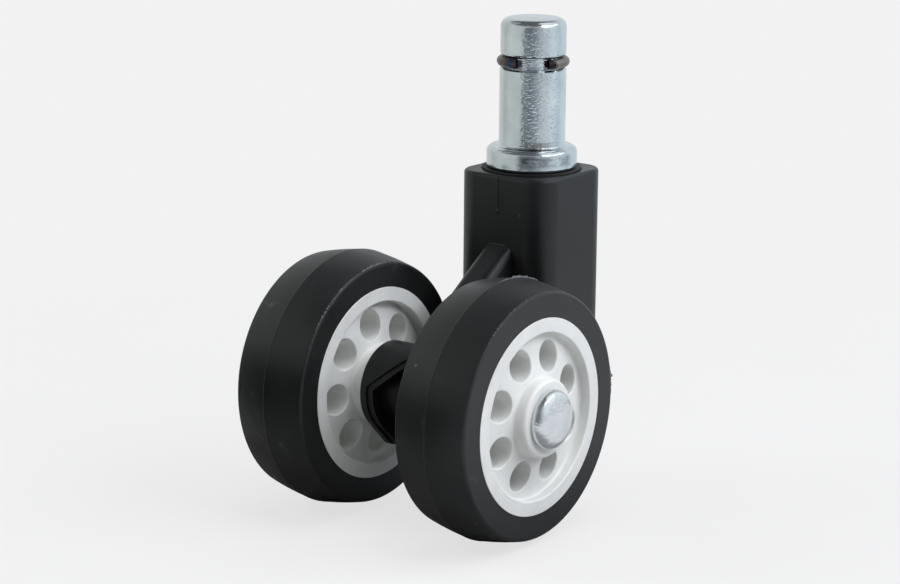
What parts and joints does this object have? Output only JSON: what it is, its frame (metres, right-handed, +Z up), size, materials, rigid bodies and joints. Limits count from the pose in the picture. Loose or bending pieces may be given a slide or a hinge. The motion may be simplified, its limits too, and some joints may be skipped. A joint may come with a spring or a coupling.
{
  "type": "office chair caster",
  "caption": "Swivel caster with a plated grip-ring stem, a black moulded housing and white-cored wheels with black tyres on one riveted axle.",
  "frame": {"origin": "on the stem's axis, on top of the collar where the chair's socket seats", "axes": "+Z up the stem, the axle along Y, the wheels trailing towards -X"},
  "size_m": [0.0584, 0.0528, 0.0787],
  "materials": {
    "zinc_steel": "bright zinc plate over turned steel",
    "spring_steel": "blued spring steel",
    "axle_steel": "satin zinc plate",
    "washer_plastic": "matt black",
    "black_nylon": "satin black moulded nylon",
    "white_core": "satin white moulded polypropylene",
    "tyre": "satin black polyurethane"
  },
  "bodies": {
    "stem": {"stem": "zinc_steel", "grip_ring": "spring_steel", "stem_washer": "zinc_steel", "stem_clip": "spring_steel"},
    "housing": {"housing": "black_nylon", "thrust_washer": "washer_plastic", "axle": "axle_steel"},
    "right_wheel": {"right_wheel_core": "white_core", "right_tyre": "tyre"},
    "left_wheel": {"left_wheel_core": "white_core", "left_tyre": "tyre"}
  },
  "joints": [
    {"name": "swivel", "type": "hinge", "parent": "stem", "child": "housing", "pos_m": [0, 0, 0], "axis": [0, 0, 1], "continuous": true},
    {"name": "right_roll", "type": "hinge", "parent": "housing", "child": "right_wheel", "pos_m": [-0.0283, -0.01605, -0.0364], "axis": [0, 1, 0], "continuous": true},
    {"name": "left_roll", "type": "hinge", "parent": "housing", "child": "left_wheel", "pos_m": [-0.0283, 0.01605, -0.0364], "axis": [0, 1, 0], "continuous": true}
  ]
}
